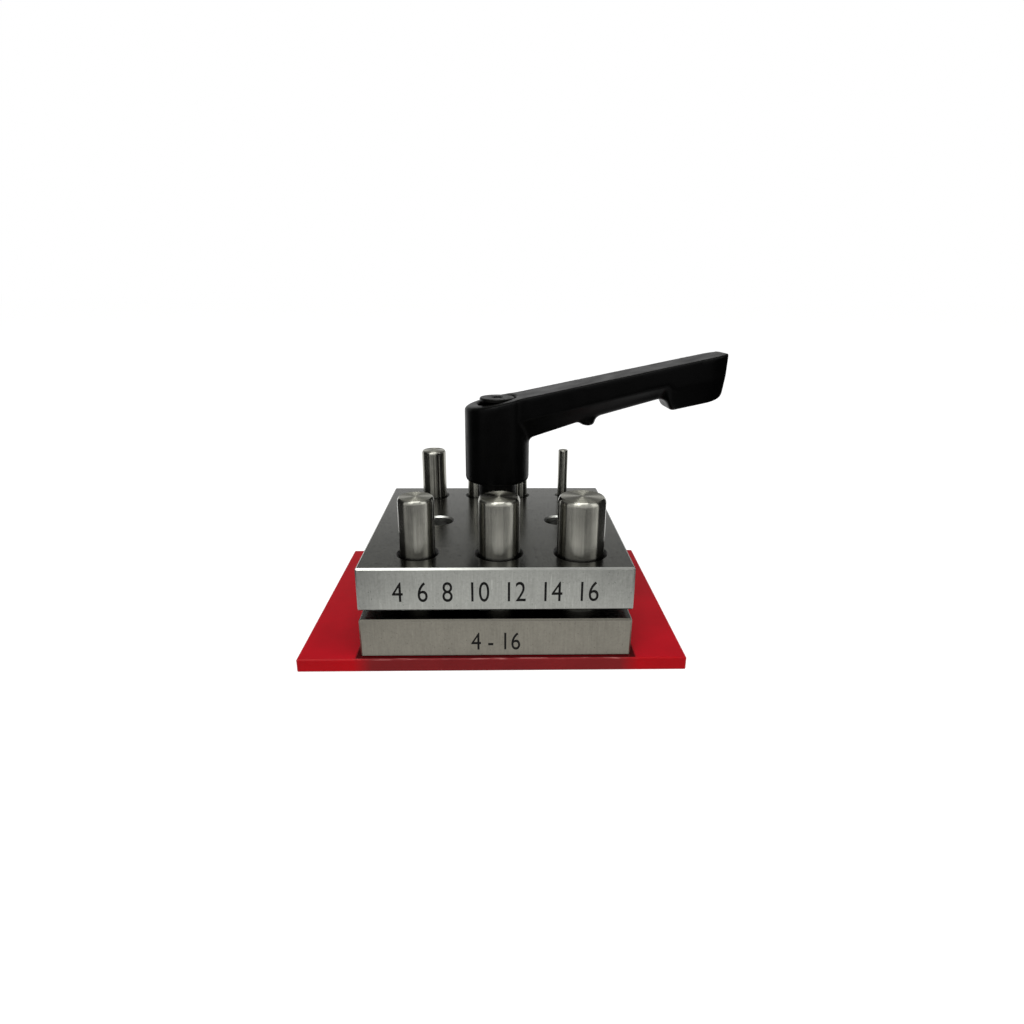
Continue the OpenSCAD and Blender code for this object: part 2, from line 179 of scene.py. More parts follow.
def mesh_object(name: str, points: Sequence[Point], faces: Sequence[Sequence[int]]) -> Thing:
    """Makes a mesh object whose normals point out.

    Args:
        name: The object's name.
        points: Its vertices, in millimetres.
        faces: Vertex numbers of each face.

    Returns:
        The object, in the scene.
    """
    mesh = bpy.data.meshes.new(name)
    mesh.from_pydata([(x * MM, y * MM, z * MM) for x, y, z in points], [], faces)
    work = bmesh.new()
    work.from_mesh(mesh)
    bmesh.ops.recalc_face_normals(work, faces=work.faces)
    work.to_mesh(mesh)
    work.free()
    return link_object(name, mesh)


def apply_modifier(obj: Thing, kind: str, **settings: Any) -> None:
    """Adds one modifier, bakes its result into the mesh and removes it.

    Args:
        obj: The mesh object.
        kind: The modifier's type.
        settings: Its properties.
    """
    modifier = obj.modifiers.new(kind, kind)
    for key, value in settings.items():
        setattr(modifier, key, value)
    graph = bpy.context.evaluated_depsgraph_get()
    result = bpy.data.meshes.new_from_object(obj.evaluated_get(graph))
    obj.modifiers.remove(modifier)
    old = obj.data
    obj.data = result
    bpy.data.meshes.remove(old)


def combine(obj: Thing, others: Sequence[Thing], join: Join) -> None:
    """Adds other solids to obj, or cuts them from it, and removes them.

    Args:
        obj: The solid that is kept.
        others: The solids that are used up.
        join: What they do to it.
    """
    for other in others:
        apply_modifier(obj, "BOOLEAN", object=other, operation=join.value, solver="EXACT")
        mesh = other.data
        bpy.data.objects.remove(other)
        bpy.data.meshes.remove(mesh)


def shade(obj: Thing, crease_deg: float) -> None:
    """Shades a mesh smooth, apart from edges sharper than crease_deg."""
    obj.data.shade_smooth()
    obj.data.set_sharp_from_angle(angle=math.radians(crease_deg))


def lathe(name: str, profile: Sequence[tuple[float, float]], foot: Point, sides: int) -> Thing:
    """Turns an outline round a vertical axis.

    Args:
        name: The object's name.
        profile: Radius and height of the outline's points in millimetres, from axis to axis.
        foot: The point on the axis, in millimetres, that the heights are measured from.
        sides: Steps round the axis.

    Returns:
        The solid, with one point at each end on the axis.
    """
    x, y, z = foot
    inner = profile[1:-1]
    turns = [2 * math.pi * step / sides for step in range(sides)]
    points = [(x, y, z + profile[0][1])]
    for radius, height in inner:
        points += [(x + radius * math.cos(t), y + radius * math.sin(t), z + height) for t in turns]
    points.append((x, y, z + profile[-1][1]))
    last = len(points) - 1
    faces: list[list[int]] = []
    for step in range(sides):
        after = (step + 1) % sides
        faces.append([0, 1 + after, 1 + step])
        for ring in range(len(inner) - 1):
            low, high = 1 + ring * sides, 1 + (ring + 1) * sides
            faces.append([low + step, low + after, high + after, high + step])
        top = 1 + (len(inner) - 1) * sides
        faces.append([top + step, top + after, last])
    return mesh_object(name, points, faces)


def loft(name: str, rings: Sequence[Sequence[Point]]) -> Thing:
    """Joins rings of equal length into a closed solid with flat ends.

    Args:
        name: The object's name.
        rings: Points of each ring in millimetres, in order along the solid.

    Returns:
        The solid.
    """
    count = len(rings[0])
    points = [point for ring in rings for point in ring]
    faces: list[list[int]] = [list(range(count)), list(range(len(points) - count, len(points)))]
    for ring in range(len(rings) - 1):
        for step in range(count):
            after = (step + 1) % count
            low, high = ring * count, (ring + 1) * count
            faces.append([low + step, low + after, high + after, high + step])
    return mesh_object(name, points, faces)


# ---- Patterns that several finishes share ----


def grain(tree: Tree, coords: Feed, size_mm: Point, detail: float = 3.0) -> Socket:
    """Noise whose spots have the given size along x, y and z, so that unequal sizes give streaks.

    Args:
        tree: The node tree.
        coords: Coordinates in metres.
        size_mm: Size of a spot along each axis, in millimetres.
        detail: Octaves of finer noise in it.

    Returns:
        The noise, from 0 to 1.
    """
    scale = tuple(1 / (size * MM) for size in size_mm)
    mapping = add_node(tree, "Mapping", {"Scale": scale}, {"Vector": coords})
    noise = add_node(tree, "TexNoise", {"Scale": 1.0, "Detail": detail}, {"Vector": mapping})
    return noise.outputs["Fac"]


def layered(tree: Tree, parts: Sequence[tuple[Socket, float]]) -> Socket:
    """Lays several patterns over each other.

    Args:
        tree: The node tree.
        parts: Each pattern with its weight.

    Returns:
        Their weighted sum.
    """
    first, weight = parts[0]
    total = add_node(tree, "Math", {"operation": "MULTIPLY", 1: weight}, {0: first})
    for pattern, weight in parts[1:]:
        total = add_node(tree, "Math", {"operation": "MULTIPLY_ADD", 1: weight}, {0: pattern, 2: total})
    return total.outputs["Value"]


def tinted(tree: Tree, colour: Union[str, Node], pattern: Socket, limits: Range) -> Node:
    """Darkens and lightens a colour by a pattern.

    Args:
        tree: The node tree.
        colour: An sRGB hex colour, or the node that gives the colour.
        pattern: The pattern.
        limits: What the colour is multiplied by at the pattern's low and high ends.

    Returns:
        The node that gives the new colour.
    """
    share = add_node(tree, "MapRange", span(NOISE, limits), {"Value": pattern})
    settings: dict[Any, Any] = {"operation": "SCALE"}
    links: dict[Any, Feed] = {"Scale": share}
    if isinstance(colour, str):
        settings[0] = linear(colour)[:3]
    else:
        links[0] = colour
    return add_node(tree, "VectorMath", settings, links)


def upward(tree: Tree, source: Range) -> Node:
    """How far the surface faces up or down.

    Args:
        tree: The node tree.
        source: Upright parts of the normal at which the answer is 0 and 1.

    Returns:
        The node that gives it.
    """
    normal = add_node(tree, "TexCoord").outputs["Normal"]
    rise = add_node(tree, "SeparateXYZ", links={"Vector": normal}).outputs["Z"]
    level = add_node(tree, "Math", {"operation": "ABSOLUTE"}, {0: rise})
    return add_node(tree, "MapRange", span(source, (0.0, 1.0)), {"Value": level})


def slanted(tree: Tree, flat: Node) -> Node:
    """How far the surface is slanted, as the broken edges and the mouths of holes are.

    Args:
        tree: The node tree.
        flat: The node that is 1 on the top and 0 on the sides.

    Returns:
        The node that gives it, from 0 to 1.
    """
    return add_node(tree, "Math", {"operation": "SUBTRACT"}, {0: upward(tree, RISING), 1: flat})


@dataclass(frozen=True)
class PlanPlace:
    """Nodes that say where a point lies in plan, in metres from the middle of a square plate."""

    offset: Node
    # How far to the left or right it lies
    aside: Socket
    # The larger of that and how far to the front or rear it lies
    reach: Node
    # Half the plate's width
    half: float


def plan_place(tree: Tree, coords: Socket, plate: str) -> PlanPlace:
    """Measures in plan from the middle of a plate.

    Args:
        tree: The node tree.
        coords: Object coordinates.
        plate: The frame's node of the plate.

    Returns:
        The nodes that give the place.
    """
    low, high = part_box(plate)
    settings = {"operation": "SUBTRACT", 1: (low + high) / 2}
    offset = add_node(tree, "VectorMath", settings, {0: coords})
    spread = add_node(tree, "VectorMath", {"operation": "ABSOLUTE"}, {0: offset})
    sides = add_node(tree, "SeparateXYZ", links={"Vector": spread}).outputs
    reach = add_node(tree, "Math", {"operation": "MAXIMUM"}, {0: sides["X"], 1: sides["Y"]})
    return PlanPlace(offset, sides["X"], reach, (high.x - low.x) / 2)


# ---- Finishes ----


@dataclass(frozen=True)
class Finish:
    """A material, named for what it is and how its surface was made.

    In every kind, tone and dull are what its pattern multiplies the colour and the roughness by at the
    pattern's low and high ends.
    """

    name: str
    colour: str
    roughness: float

    def start(self, settings: dict[str, Any]) -> tuple[Tree, Node, Socket]:
        """Makes the material with its shader.

        Args:
            settings: Values on the shader's own sockets.

        Returns:
            The node tree, the shader node and the object coordinates, in metres.
        """
        tree = empty_tree(bpy.data.materials.new(self.name))
        values = {"Base Color": linear(self.colour), "Roughness": self.roughness, **settings}
        shader = add_node(tree, "BsdfPrincipled", values)
        add_node(tree, "OutputMaterial", links={"Surface": shader})
        return tree, shader, add_node(tree, "TexCoord").outputs["Object"]

    def connect(
        self,
        tree: Tree,
        shader: Node,
        colour: Node,
        roughness: Node,
        height: Socket,
        depth_mm: float,
    ) -> None:
        """Feeds the shader.

        Args:
            tree: The node tree.
            shader: Its shader node.
            colour: The node that gives the colour.
            roughness: The node that gives the roughness.
            height: The relief, from 0 to 1.
            depth_mm: Depth of the relief in millimetres.
        """
        relief = add_node(tree, "Bump", {"Distance": depth_mm * MM}, {"Height": height})
        feeds = {"Base Color": colour, "Roughness": roughness, "Normal": relief}
        for name, node in feeds.items():
            source = next(socket for socket in node.outputs if socket.enabled)
            tree.links.new(source, shader.inputs[name])

    def uneven(self, tree: Tree, pattern: Socket, limits: Range) -> Node:
        """Roughness that follows a pattern.

        Args:
            tree: The node tree.
            pattern: The pattern.
            limits: What the finish's roughness is multiplied by at the pattern's ends.

        Returns:
            The node that gives the roughness.
        """
        ends = (self.roughness * limits[0], self.roughness * limits[1])
        return add_node(tree, "MapRange", span(NOISE, ends), {"Value": pattern})

    def material(self) -> bpy.types.Material:
        """Returns the finish's material, made on its first use."""
        if self.name not in bpy.data.materials:
            self.build()
        return bpy.data.materials[self.name]

    def build(self) -> None:
        """Makes the material's nodes."""
        raise NotImplementedError

    def dress(self, *objects: Thing) -> None:
        """Puts the material on every slot of the objects.

        Args:
            objects: Mesh objects, with or without slots.
        """
        for obj in objects:
            if not obj.material_slots:
                obj.data.materials.append(self.material())
            for slot in obj.material_slots:
                slot.material = self.material()


@dataclass(frozen=True)
class GroundSteel(Finish):
    """Tool steel from a surface grinder, with fine parallel marks, stains, pits and a few scratches."""

    node: str
    # Painted shade: the top and the other flat faces take a darker colour than the sides, for the dark room
    # that they mirror
    shaded_top_colour: str = "#747470"
    top_roughness: float = 0.2
    # Painted highlight and shade on the broken outer edges at the plate's left and right, against its faces
    edge_light_levels: Range = (1.0, 1.0)
    # Where it fades from one to the other, in halves of the plate's width from its middle
    edge_light_fade: Range = (-0.55, 0.15)
    # Distances inside the plate's side between which a slanted face becomes its outer edge
    edge_mm: Range = (2.0, 1.0)
    # Painted shade darkens the bevelled mouths of the holes, apart from their rear, which gets a painted
    # highlight
    mouth_shade_level: float = 0.06
    mouth_rear_highlight_level: float = 1.6
    # Part of the normal towards the rear at which a mouth begins and ends to count as its rear
    mouth_rear: Range = (-0.25, -0.6)
    # The wheel's marks are about 0.05 mm wide; drawn at 0.5 mm, the finest that the view can show
    mark_mm: float = 0.5
    mark_length_mm: float = 6.0
    stain_mm: float = 9.0
    mottle_mm: float = 0.8
    # Weights of marks, stains and mottle in the tone
    tone_shares: Point = (0.3, 0.3, 0.4)
    tone: Range = (0.8, 1.2)
    dull: Range = (0.88, 1.18)
    # Pits hold grime: the noise at which they begin and are full, and how dark they are then
    pit_mm: float = 0.45
    pit_noise: Range = (0.71, 0.77)
    pit_level: float = 0.5
    # Worn dots and dents on the top, where the punches and discs lie about, and what they take away
    dent_mm: float = 1.1
    dent_noise: Range = (0.6, 0.7)
    dent_loss: float = 0.45
    # Real scratches are a few hundredths wide; drawn at 0.25 mm so that they show, brighter than the face
    scratch_mm: float = 0.25
    scratch_length_mm: float = 9.0
    scratch_noise: Range = (0.68, 0.74)
    scratch_level: float = 1.35
    # Weights of marks, mottle, pits and dents in the relief
    relief_shares: tuple[float, float, float, float] = (0.5, 0.3, 0.5, 1.0)
    relief_mm: float = 0.004

    def lay(self, tree: Tree, coords: Socket, flat: Node) -> Node:
        """Coordinates whose x runs across the wheel's marks on the top and on the sides alike.

        Args:
            tree: The node tree.
            coords: Object coordinates.
            flat: The node that is 1 on the top and 0 on the sides.

        Returns:
            The node that gives the coordinates.
        """
        xyz = add_node(tree, "SeparateXYZ", links={"Vector": coords}).outputs
        side = add_node(tree, "Math", {"operation": "SUBTRACT", 0: 1.0}, {1: flat})
        across = add_node(tree, "Math", {"operation": "MULTIPLY_ADD"}, {0: xyz["Y"], 1: side, 2: xyz["X"]})
        return add_node(tree, "CombineXYZ", links={"X": across, "Y": xyz["Y"], "Z": xyz["Z"]})

    def corners(self, tree: Tree, coords: Socket, flat: Node) -> Node:
        """Painted light and shade on the slanted faces: the plate's broken outer edges and the holes' mouths.

        Args:
            tree: The node tree.
            coords: Object coordinates.
            flat: The node that is 1 on the top and 0 on the sides.

        Returns:
            The node that gives it, which is 1 everywhere else.
        """
        place = plan_place(tree, coords, self.node)
        band = tuple(place.half - distance * MM for distance in self.edge_mm)
        outer = add_node(tree, "MapRange", span(band, (0.0, 1.0)), {"Value": place.reach})
        across = add_node(tree, "SeparateXYZ", links={"Vector": place.offset}).outputs["X"]
        ends = tuple(share * place.half for share in self.edge_light_fade)
        # Painted highlight and shade on the outer edges, from the plate's left to its right
        edge = add_node(tree, "MapRange", span(ends, self.edge_light_levels), {"Value": across})
        normal = add_node(tree, "TexCoord").outputs["Normal"]
        facing = add_node(tree, "SeparateXYZ", links={"Vector": normal}).outputs["Y"]
        # Painted shade in the holes' mouths, with a painted highlight on their rear
        rear = span(self.mouth_rear, (self.mouth_shade_level, self.mouth_rear_highlight_level))
        mouth_shade_and_highlight = add_node(tree, "MapRange", rear, {"Value": facing})
        level = add_node(tree, "Mix", links={0: outer, 2: mouth_shade_and_highlight, 3: edge})
        return add_node(tree, "Mix", {2: 1.0}, {0: slanted(tree, flat), 3: level})

    def build(self) -> None:
        """Makes the ground faces, with the lay along y on the top and upright on the sides."""
        tree, shader, coords = self.start({"Metallic": 1.0})
        flat = upward(tree, FLAT)
        lay = self.lay(tree, coords, flat)
        marks = grain(tree, lay, (self.mark_mm, self.mark_length_mm, self.mark_length_mm))
        stains = grain(tree, coords, (self.stain_mm,) * 3)
        mottle = grain(tree, coords, (self.mottle_mm,) * 3, 2.0)
        tone = layered(tree, list(zip((marks, stains, mottle), self.tone_shares)))
        # Painted shade: flat faces take the darker top colour
        colours = {"data_type": "RGBA", 6: linear(self.colour), 7: linear(self.shaded_top_colour)}
        face = add_node(tree, "Mix", colours, {0: flat})
        colour = tinted(tree, face, tone, self.tone)
        spots = grain(tree, coords, (self.pit_mm,) * 3, 1.0)
        pits = add_node(tree, "MapRange", span(self.pit_noise, (1.0, self.pit_level)), {"Value": spots})
        dents = grain(tree, coords, (self.dent_mm,) * 3, 2.0)
        dots = add_node(tree, "MapRange", span(self.dent_noise, (0.0, self.dent_loss)), {"Value": dents})
        dots = add_node(tree, "Math", {"operation": "MULTIPLY"}, {0: dots, 1: flat})
        clear = add_node(tree, "Math", {"operation": "SUBTRACT", 0: 1.0}, {1: dots})
        lines = grain(tree, lay, (self.scratch_mm, self.scratch_length_mm, self.scratch_length_mm), 1.0)
        bright = span(self.scratch_noise, (1.0, self.scratch_level))
        scratches = add_node(tree, "MapRange", bright, {"Value": lines})
        for level in (pits, clear, scratches, self.corners(tree, coords, flat)):
            colour = add_node(tree, "VectorMath", {"operation": "SCALE"}, {0: colour, "Scale": level})
        ends = {2: self.roughness, 3: self.top_roughness}
        base_rough = add_node(tree, "Mix", ends, {0: flat})
        patchy = add_node(tree, "MapRange", span(NOISE, self.dull), {"Value": mottle})
        rough = add_node(tree, "Math", {"operation": "MULTIPLY"}, {0: base_rough, 1: patchy})
        shapes = (marks, mottle, pits.outputs["Result"], dents)
        height = layered(tree, list(zip(shapes, self.relief_shares)))
        self.connect(tree, shader, colour, rough, height, self.relief_mm)


@dataclass(frozen=True)
class TurnedSteel(Finish):
    """Hardened steel, turned and polished: marks run round it, so highlights are drawn out along it."""

    anisotropy: float = 0.9
    # Painted shade: darker below the upper plate's underside, in the slot, and darker near the upper plate's
    # top, where a pin leaves it
    slot_shade_level: float = 0.35
    slot_shade_mm: float = 3.0
    contact_shade_level: float = 0.42
    contact_shade_mm: float = 6.0
    # A quarter turn from the direction round the pin, which draws the highlight along it
    rotation: float = 0.25
    # Tool marks are about 0.1 mm apart; drawn at 0.4 mm so that they show
    ring_mm: float = 0.4
    streak_mm: float = 0.6
    streak_length_mm: float = 14.0
    stain_mm: float = 3.5
    # Weights of rings, stains and streaks in the tone
    tone_shares: Point = (0.35, 0.15, 0.5)
    tone: Range = (0.74, 1.24)
    dull: Range = (0.95, 1.06)
    # Diameter that the rings on the end are spaced for; on other pins they scale with the pin
    end_d_mm: float = 14.0
    relief_mm: float = 0.0001

    def rings(self, tree: Tree, coords: Socket) -> Socket:
        """Tool marks, which run round the pin on its side and in circles on its end.

        Args:
            tree: The node tree.
            coords: Object coordinates.

        Returns:
            The pattern, from 0 to 1.
        """
        place = add_node(tree, "TexCoord").outputs["Generated"]
        centre = (0.5, 0.5, 0.0)
        offset = add_node(tree, "VectorMath", {"operation": "SUBTRACT", 1: centre}, {0: place})
        level = add_node(tree, "VectorMath", {"operation": "MULTIPLY", 1: (1.0, 1.0, 0.0)}, {0: offset})
        radius = add_node(tree, "VectorMath", {"operation": "LENGTH"}, {0: level}).outputs["Value"]
        height = add_node(tree, "SeparateXYZ", links={"Vector": coords}).outputs["Z"]
        size = {"operation": "MULTIPLY_ADD", 1: self.end_d_mm * MM}
        along = add_node(tree, "Math", size, {0: radius, 2: height})
        line = add_node(tree, "CombineXYZ", links={"Z": along})
        return grain(tree, line, (1.0, 1.0, self.ring_mm), 2.0)

    def build(self) -> None:
        """Makes the turned surface with its rings, fine streaks, a few handling stains and painted shade near
        the upper plate.
        """
        settings = {"Metallic": 1.0, "Anisotropic": self.anisotropy, "Anisotropic Rotation": self.rotation}
        tree, shader, coords = self.start(settings)
        tangent = add_node(tree, "Tangent", {"direction_type": "RADIAL", "axis": "Z"})
        tree.links.new(tangent.outputs["Tangent"], shader.inputs["Tangent"])
        rings = self.rings(tree, coords)
        stains = grain(tree, coords, (self.stain_mm,) * 3)
        streaks = grain(tree, coords, (self.streak_mm, self.streak_mm, self.streak_length_mm), 2.0)
        tone = layered(tree, list(zip((rings, stains, streaks), self.tone_shares)))
        colour = tinted(tree, self.colour, tone, self.tone)
        # Painted shade below the upper plate's underside and near its top
        low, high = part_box("top_plate")
        height = add_node(tree, "SeparateXYZ", links={"Vector": coords}).outputs["Z"]
        offset = add_node(tree, "Math", {"operation": "SUBTRACT", 1: high.z}, {0: height})
        distance = add_node(tree, "Math", {"operation": "ABSOLUTE"}, {0: offset})
        slot_shade = span((low.z, low.z + self.slot_shade_mm * MM), (self.slot_shade_level, 1.0))
        contact_shade = span((0.0, self.contact_shade_mm * MM), (self.contact_shade_level, 1.0))
        for fade, place in ((slot_shade, height), (contact_shade, distance)):
            unshaded = add_node(tree, "MapRange", fade, {"Value": place})
            colour = add_node(tree, "VectorMath", {"operation": "SCALE"}, {0: colour, "Scale": unshaded})
        self.connect(tree, shader, colour, self.uneven(tree, stains, self.dull), rings, self.relief_mm)


@dataclass(frozen=True)
class BlackOxide(Finish):
    """Steel blackened in a hot bath: nearly black, with a dull metallic sheen and rubbed spots."""

    rub_mm: float = 2.5
    grain_mm: float = 0.4
    tone: Range = (0.75, 1.35)
    dull: Range = (1.15, 0.85)
    relief_mm: float = 0.004

    def build(self) -> None:
        """Makes the oxide skin with uneven darkness."""
        tree, shader, coords = self.start({"Metallic": 1.0})
        rub = grain(tree, coords, (self.rub_mm,) * 3)
        fine = grain(tree, coords, (self.grain_mm,) * 3)
        colour = tinted(tree, self.colour, rub, self.tone)
        self.connect(tree, shader, colour, self.uneven(tree, rub, self.dull), fine, self.relief_mm)


@dataclass(frozen=True)
class PowderCoat(Finish):
    """Black powder coat on a die casting: semi-gloss, with the fine orange peel of baked powder."""

    # Powder's orange peel is 0.3 to 1 mm across
    peel_mm: float = 0.5
    patch_mm: float = 6.0
    gloss: float = 0.3
    tone: Range = (0.75, 1.3)
    dull: Range = (0.85, 1.15)
    relief_mm: float = 0.012

    def build(self) -> None:
        """Makes the coat with its orange peel and slightly duller patches."""
        tree, shader, coords = self.start({"Specular IOR Level": self.gloss})
        peel = grain(tree, coords, (self.peel_mm,) * 3, 2.0)
        patches = grain(tree, coords, (self.patch_mm,) * 3)
        colour = tinted(tree, self.colour, peel, self.tone)
        self.connect(tree, shader, colour, self.uneven(tree, patches, self.dull), peel, self.relief_mm)


@dataclass(frozen=True)
class CastPlastic(Finish):
    """Red cast sheet: its skin mirrors the block softly; its sawn edges are brighter at their ends and carry
    painted shade under the block, and a painted contact shadow runs round the block's foot.
    """

    edge_colour: str = "#b3000f"
    # Painted shade: the sheet's edge is darker where the block stands over it, as the slightly see-through
    # sheet lets in less light there
    shaded_colour: str = "#7c1a1d"
    contact_shadow_colour: str = "#420306"
    worn_colour: str = "#c98480"
    gloss: float = 0.1
    # Painted contact shadow: a dark line round the block's foot, made dull so that it mirrors nothing
    contact_shade_mm: float = 1.4
    contact_shadow_roughness: float = 0.85
    # Where the block's shade ends, in halves of its width from its middle
    shade_ends: Range = (0.92, 1.06)
    # Upright parts of the normal at which the flat face begins, past its broken edge
    flat: Range = (0.9, 0.99)
    # The sawn sides are duller than the skin by this
    side_roughness: float = 3.0
    wave_mm: float = 18.0
    tone: Range = (0.9, 1.1)
    # Dust: its noise where it begins and is full, and the roughness that it adds
    dust_mm: float = 0.6
    dust_noise: Range = (0.5, 0.75)
    dust_roughness: float = 0.08
    # Rubbed places on the broken edge: their noise, and how pale they get
    rub_mm: float = 7.0
    rub_noise: Range = (0.52, 0.66)
    rub_share: float = 0.5
    relief_mm: float = 0.02

    def build(self) -> None:
        """Makes the sheet with faint waviness, dust, duller edges, a worn line along them, painted shade on
        the edge under the block and a painted contact shadow round its foot.
        """
        tree, shader, coords = self.start({"Specular IOR Level": self.gloss})
        waves = grain(tree, coords, (self.wave_mm,) * 3)
        dust = grain(tree, coords, (self.dust_mm,) * 3)
        flat = upward(tree, self.flat)
        # Painted shade where the block stands over the sheet, against its ends that light gets into
        place = plan_place(tree, coords, "base_plate")
        under = span(tuple(place.half * share for share in self.shade_ends), (1.0, 0.0))
        shaded = add_node(tree, "MapRange", under, {"Value": place.aside})
        # Painted contact shadow in a line round the block's foot, on the flat face
        line = place.half + self.contact_shade_mm * MM / 2
        outwards = add_node(tree, "Math", {"operation": "SUBTRACT", 1: line}, {0: place.reach})
        distance = add_node(tree, "Math", {"operation": "ABSOLUTE"}, {0: outwards})
        fade = span((0.5 * self.contact_shade_mm * MM, self.contact_shade_mm * MM), (1.0, 0.0))
        contact_shade = add_node(tree, "MapRange", fade, {"Value": distance})
        contact_shade = add_node(tree, "Math", {"operation": "MULTIPLY"}, {0: contact_shade, 1: flat})
        # The broken edge between face and side is rubbed pale in places before the block
        rubs = grain(tree, coords, (self.rub_mm, self.dust_mm, self.dust_mm / 2), 2.0)
        rubbed = add_node(tree, "MapRange", span(self.rub_noise, (0.0, self.rub_share)), {"Value": rubs})
        worn = slanted(tree, flat)
        for share in (rubbed, shaded):
            worn = add_node(tree, "Math", {"operation": "MULTIPLY"}, {0: worn, 1: share})
        colours = {"data_type": "RGBA", 6: linear(self.edge_colour), 7: linear(self.shaded_colour)}
        face = add_node(tree, "Mix", colours, {0: shaded})
        coats = ((flat, self.colour), (contact_shade, self.contact_shadow_colour), (worn, self.worn_colour))
        for share, coat in coats:
            face = add_node(tree, "Mix", {"data_type": "RGBA", 7: linear(coat)}, {0: share, 6: face})
        colour = tinted(tree, face, waves, self.tone)
        ends = {2: self.roughness * self.side_roughness, 3: self.roughness}
        base_rough = add_node(tree, "Mix", ends, {0: flat})
        base_rough = add_node(tree, "Mix", {3: self.contact_shadow_roughness}, {0: contact_shade, 2: base_rough})
        dusty = span(self.dust_noise, (0.0, self.dust_roughness))
        dulled = add_node(tree, "MapRange", dusty, {"Value": dust})
        rough = add_node(tree, "Math", {"operation": "ADD"}, {0: base_rough, 1: dulled})
        self.connect(tree, shader, colour, rough, waves, self.relief_mm)


@dataclass(frozen=True)
class FillPaint(Finish):
    """Black paint wiped into engraved numerals: matt, and greyer where it is thin."""

    thin_colour: str = "#33332f"
    gloss: float = 0.1
    wear_mm: float = 0.5
    wear_noise: Range = (0.55, 0.75)
    dull: Range = (0.9, 1.1)
    relief_mm: float = 0.01

    def build(self) -> None:
        """Makes the paint with a little wear."""
        tree, shader, coords = self.start({"Specular IOR Level": self.gloss})
        wear = grain(tree, coords, (self.wear_mm,) * 3)
        thin = add_node(tree, "MapRange", span(self.wear_noise, (0.0, 1.0)), {"Value": wear})
        colours = {"data_type": "RGBA", 6: linear(self.colour), 7: linear(self.thin_colour)}
        colour = add_node(tree, "Mix", colours, {0: thin})
        self.connect(tree, shader, colour, self.uneven(tree, wear, self.dull), wear, self.relief_mm)


# Ground tool steel: a silky grey that mirrors only at low angles, so the top shows the punches; its broken
# edges carry a painted highlight at the left that fades to painted shade at the right
PLATE_STEEL = GroundSteel("ground_tool_steel", "#949590", 0.36, "top_plate", edge_light_levels=(1.5, 0.4))
# The lower plate has a duller, slightly yellow grind, with painted shade on its top and on its broken edges
BASE_STEEL = GroundSteel(
    "ground_base_steel", "#77746b", 0.4, "base_plate", shaded_top_colour="#5a5a57", edge_light_levels=(0.38, 0.38)
)
# Polished punches: bright bands along the sides and fans of light on the turned ends
PUNCH_STEEL = TurnedSteel("turned_tool_steel", "#93928a", 0.22)
# Their faced ends: the tool's rings draw the light out into a bow-tie across the middle
PUNCH_END = TurnedSteel("faced_tool_steel", "#a5a498", 0.32, anisotropy=1.0)
# Dowel pins darkened by oil: a dull dark grey in the holes
PIN_STEEL = TurnedSteel("oiled_pin_steel", "#292927", 0.3, contact_shade_level=1.0)
# Drawn spring wire: grey with a soft shine along the wire
SPRING_STEEL = TurnedSteel("drawn_spring_steel", "#6c6e70", 0.3, anisotropy=0.3, rotation=0.0)
# Blackened steel of the stud, sleeve, insert and screw: a dark dull gleam
OXIDE = BlackOxide("black_oxide_steel", "#181817", 0.45)
# Powder coat of the lever: deep black that greys softly on the slanted top
COAT = PowderCoat("black_powder_coat", "#030303", 0.33, gloss=0.06)
# Cast polyurethane pad: wet-looking red with mirrored steel in it
RED_SHEET = CastPlastic("red_cast_sheet", "#b8061a", 0.1)
# Matt black in the numerals
PAINT = FillPaint("black_fill_paint", "#080808", 0.6)


# ---- The block ----


@dataclass
class DieBlock:
    """Pad, the two ground plates, their pins, stud, sleeve and washer: solids of the frame, dressed."""

    pins: Sequence[str] = ("guide_pin_left", "guide_pin_right")
    blackened: Sequence[str] = ("clamp_stud", "thrust_washer", "spacer_sleeve", "lever_insert", "lever_screw")

    def build(self) -> None:
        """Dresses every solid of the block."""
        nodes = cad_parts
        RED_SHEET.dress(nodes["cutting_pad"])
        PLATE_STEEL.dress(nodes["top_plate"])
        BASE_STEEL.dress(nodes["base_plate"])
        PIN_STEEL.dress(*(nodes[name] for name in self.pins))
        OXIDE.dress(*(nodes[name] for name in self.blackened))
        log.info("die block: pad, plates, %d pins, %d black parts", len(self.pins), len(self.blackened))


